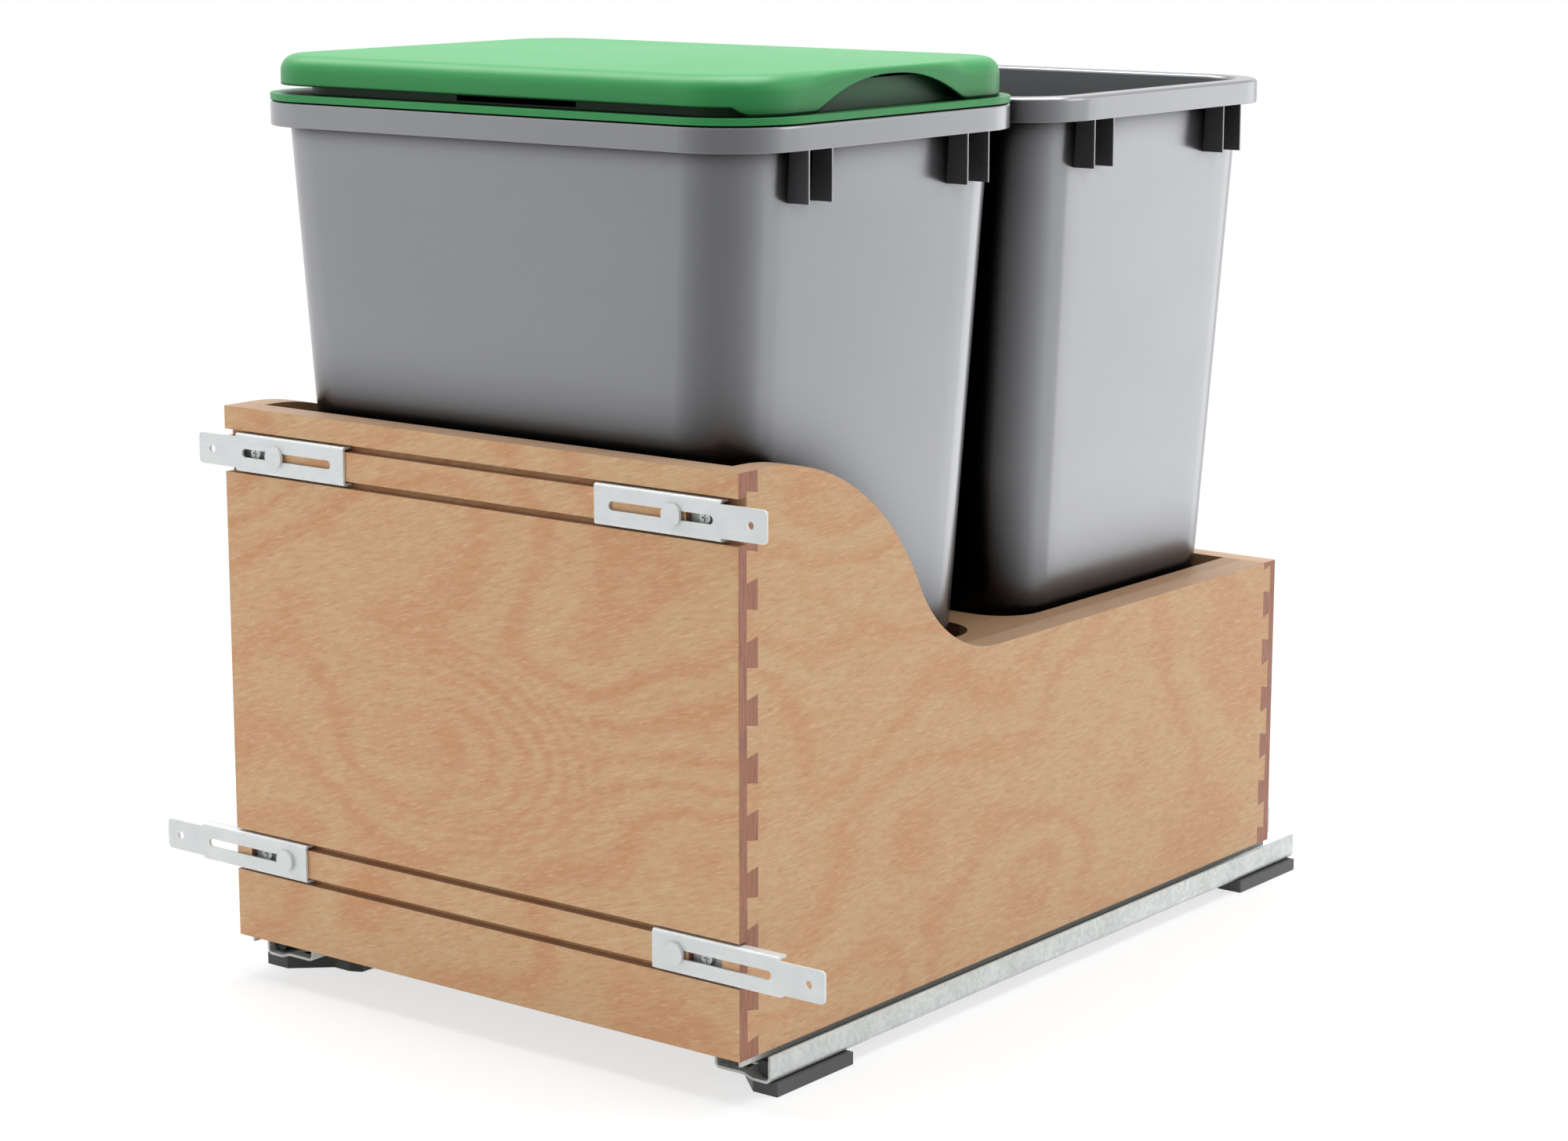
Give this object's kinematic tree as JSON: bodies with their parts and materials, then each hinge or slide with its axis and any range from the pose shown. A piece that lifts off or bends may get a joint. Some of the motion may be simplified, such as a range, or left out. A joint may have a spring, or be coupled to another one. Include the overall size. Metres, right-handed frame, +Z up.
{
  "type": "pull-out bin frame",
  "caption": "Dovetailed wooden box on full-extension floor runners that carries lift-out waste bins behind a cabinet door, with slotted door brackets and a hinged bin lid.",
  "frame": {"origin": "on the cabinet floor, under the middle of the part's width and length", "axes": "+X to the right seen from the front, +Y from the front to the back of the cabinet, +Z up"},
  "size_m": [0.476, 0.567, 0.525],
  "materials": {
    "wood": "clear satin lacquer",
    "zinc_steel": "bright zinc plated",
    "galvanised_steel": "galvanised",
    "dark_plastic": "matt",
    "black_plastic": "matt",
    "bin_plastic": "satin",
    "lid_plastic": "satin"
  },
  "bodies": {
    "cabinet_rails": {"left_cabinet_rail": "galvanised_steel", "right_cabinet_rail": "galvanised_steel", "left_front_spacer": "dark_plastic", "left_rear_spacer": "dark_plastic", "right_front_spacer": "dark_plastic", "right_rear_spacer": "dark_plastic", "spacer_screws": "zinc_steel", "left_damper": "black_plastic", "right_damper": "black_plastic"},
    "lower_cages": {"left_lower_cage": "black_plastic", "right_lower_cage": "black_plastic", "left_lower_rollers": "zinc_steel", "right_lower_rollers": "zinc_steel"},
    "middle_rails": {"left_middle_rail": "galvanised_steel", "right_middle_rail": "galvanised_steel"},
    "upper_cages": {"left_upper_cage": "black_plastic", "right_upper_cage": "black_plastic", "left_upper_rollers": "zinc_steel", "right_upper_rollers": "zinc_steel"},
    "drawer": {"front_panel": "wood", "left_side_panel": "wood", "right_side_panel": "wood", "back_panel": "wood", "floor_panel": "wood", "bin_tray": "wood", "left_tray_cleat": "wood", "right_tray_cleat": "wood", "tray_screws": "zinc_steel", "cleat_screws": "zinc_steel", "left_drawer_rail": "galvanised_steel", "right_drawer_rail": "galvanised_steel", "drawer_rail_screws": "zinc_steel", "rear_tab_screws": "zinc_steel", "bracket_studs": "zinc_steel", "bracket_clamps": "galvanised_steel", "bracket_lock_screws": "zinc_steel"},
    "upper_left_door_bracket": {"upper_left_bracket": "zinc_steel"},
    "upper_right_door_bracket": {"upper_right_bracket": "zinc_steel"},
    "lower_left_door_bracket": {"lower_left_bracket": "zinc_steel"},
    "lower_right_door_bracket": {"lower_right_bracket": "zinc_steel"},
    "front_waste_bin": {"front_bin": "bin_plastic"},
    "rear_waste_bin": {"rear_bin": "bin_plastic"},
    "lid": {"lid_frame": "lid_plastic", "lid_hinge_pins": "zinc_steel"},
    "flap": {"lid_flap": "lid_plastic"}
  },
  "joints": [
    {"name": "drawer_slide", "type": "slide", "parent": "cabinet_rails", "child": "drawer", "axis": [0, -1, 0], "range_m": [0, 0.5]},
    {"name": "lower_cage_slide", "type": "slide", "parent": "cabinet_rails", "child": "lower_cages", "axis": [0, -1, 0], "range_m": [0, 0.125]},
    {"name": "middle_rail_slide", "type": "slide", "parent": "cabinet_rails", "child": "middle_rails", "axis": [0, -1, 0], "range_m": [0, 0.25]},
    {"name": "upper_cage_slide", "type": "slide", "parent": "cabinet_rails", "child": "upper_cages", "axis": [0, -1, 0], "range_m": [0, 0.375]},
    {"name": "upper_left_bracket_slide", "type": "slide", "parent": "drawer", "child": "upper_left_door_bracket", "axis": [-1, 0, 0], "range_m": [-0.0235, 0.0395]},
    {"name": "upper_right_bracket_slide", "type": "slide", "parent": "drawer", "child": "upper_right_door_bracket", "axis": [1, 0, 0], "range_m": [-0.0235, 0.0395]},
    {"name": "lower_left_bracket_slide", "type": "slide", "parent": "drawer", "child": "lower_left_door_bracket", "axis": [-1, 0, 0], "range_m": [-0.06, 0.003]},
    {"name": "lower_right_bracket_slide", "type": "slide", "parent": "drawer", "child": "lower_right_door_bracket", "axis": [1, 0, 0], "range_m": [-0.06, 0.003]},
    {"name": "front_bin_lift", "type": "slide", "parent": "drawer", "child": "front_waste_bin", "axis": [0, 0, 1], "range_m": [0, 0.3]},
    {"name": "rear_bin_lift", "type": "slide", "parent": "drawer", "child": "rear_waste_bin", "axis": [0, 0, 1], "range_m": [0, 0.3]},
    {"name": "lid_lift", "type": "slide", "parent": "front_waste_bin", "child": "lid", "axis": [0, 0, 1], "range_m": [0, 0.06]},
    {"name": "flap_hinge", "type": "hinge", "parent": "lid", "child": "flap", "pos_m": [-0.1641, -0.13685, 0.515], "axis": [0, -1, 0], "range_deg": [0, 95]}
  ],
  "couplings": [
    {"joint": "lower_cage_slide", "follows": "drawer_slide", "ratio": 0.25},
    {"joint": "middle_rail_slide", "follows": "drawer_slide", "ratio": 0.5},
    {"joint": "upper_cage_slide", "follows": "drawer_slide", "ratio": 0.75}
  ]
}
